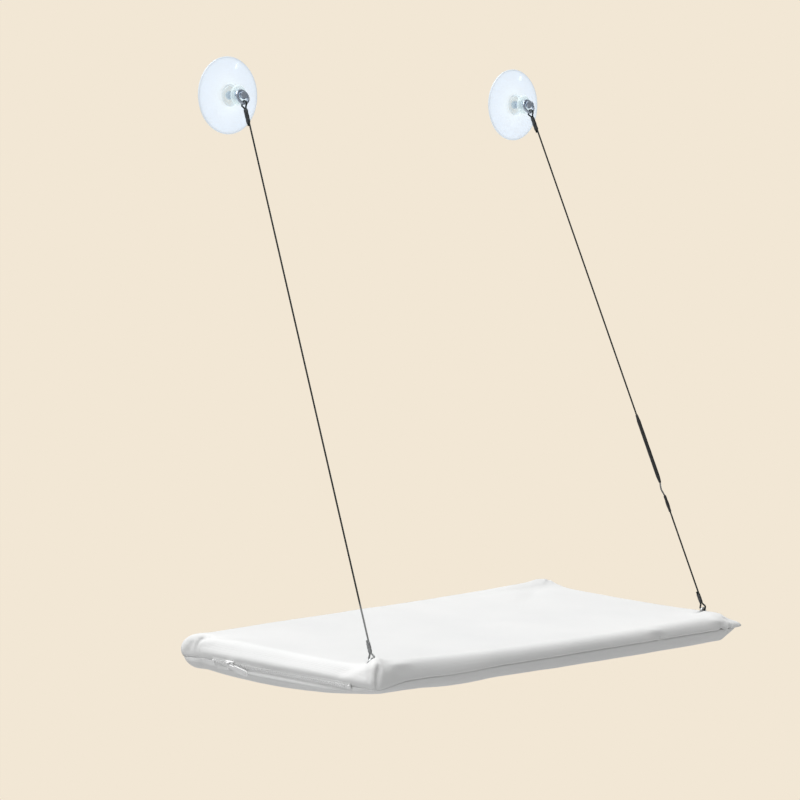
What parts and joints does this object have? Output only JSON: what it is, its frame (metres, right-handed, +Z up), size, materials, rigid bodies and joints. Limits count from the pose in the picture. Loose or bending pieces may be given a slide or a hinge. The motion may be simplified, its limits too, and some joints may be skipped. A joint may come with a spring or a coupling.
{
  "type": "window mounted cat perch",
  "caption": "Padded fabric bed on a folding pipe frame, hung from a window by suction cups and steel cords, for a cat to lie on.",
  "frame": {"origin": "on the glass, midway between the two sides of the bed, level with the middle of the bed's edge", "axes": "+Y into the glass, +X along the window to the right as seen from the room, +Z up"},
  "size_m": [0.5852, 0.3072, 0.675],
  "materials": {
    "clear_cup": "clear soft vinyl",
    "clear_knob": "clear hard plastic",
    "steel": "bright",
    "cord": "dark wire rope in a thin coat",
    "crimp": "dark",
    "sleeve": "dark",
    "white_pipe": "white",
    "white_clip": "white",
    "foam": "open foam",
    "white_fabric": "smooth white weave",
    "white_zip": "glossy white"
  },
  "bodies": {
    "window_hardware": {"left_upper_cup": "clear_cup", "right_upper_cup": "clear_cup", "left_stud": "steel", "right_stud": "steel", "left_cord_ring": "steel", "right_cord_ring": "steel", "left_upper_loop": "cord", "right_upper_loop": "cord", "left_upper_crimp": "crimp", "right_upper_crimp": "crimp", "left_cord": "cord", "right_cord": "cord", "long_splice_sleeve": "sleeve", "short_splice_sleeve": "sleeve", "left_lower_cup": "clear_cup", "right_lower_cup": "clear_cup", "left_pipe_clip": "white_clip", "right_pipe_clip": "white_clip"},
    "bed": {"left_lower_crimp": "crimp", "right_lower_crimp": "crimp", "left_lower_loop": "cord", "right_lower_loop": "cord", "left_screw_eye": "steel", "right_screw_eye": "steel", "rear_pipe": "white_pipe", "front_pipe": "white_pipe", "left_pipe": "white_pipe", "right_pipe": "white_pipe", "rear_left_elbow": "white_pipe", "rear_right_elbow": "white_pipe", "front_left_elbow": "white_pipe", "front_right_elbow": "white_pipe", "foam_mat": "foam", "cover_top": "white_fabric", "cover_bottom": "white_fabric", "zip_tape": "white_fabric"},
    "left_knob": {"left_thumb_knob": "clear_knob"},
    "right_knob": {"right_thumb_knob": "clear_knob"},
    "zip_slider": {"zip_slider": "white_zip"},
    "zip_pull": {"zip_pull": "white_zip"}
  },
  "joints": [
    {"name": "bed_fold", "type": "hinge", "parent": "window_hardware", "child": "bed", "pos_m": [0, -0.0277, -0.0015], "axis": [-1, 0, 0], "range_deg": [0, 80], "deforming": ["left_cord", "right_cord", "long_splice_sleeve", "short_splice_sleeve"]},
    {"name": "left_knob_turn", "type": "hinge", "parent": "window_hardware", "child": "left_knob", "pos_m": [-0.224, -0.0164, 0.595], "axis": [0, -1, 0], "continuous": true},
    {"name": "right_knob_turn", "type": "hinge", "parent": "window_hardware", "child": "right_knob", "pos_m": [0.224, -0.0164, 0.595], "axis": [0, -1, 0], "continuous": true},
    {"name": "zip_slide", "type": "slide", "parent": "bed", "child": "zip_slider", "axis": [0, 1, 0], "range_m": [-0.1757, 0.0197]},
    {"name": "zip_pull_swing", "type": "hinge", "parent": "zip_slider", "child": "zip_pull", "pos_m": [-0.29004, -0.081, -0.01082], "axis": [0.309, 0, -0.9511], "range_deg": [0, 165]}
  ]
}
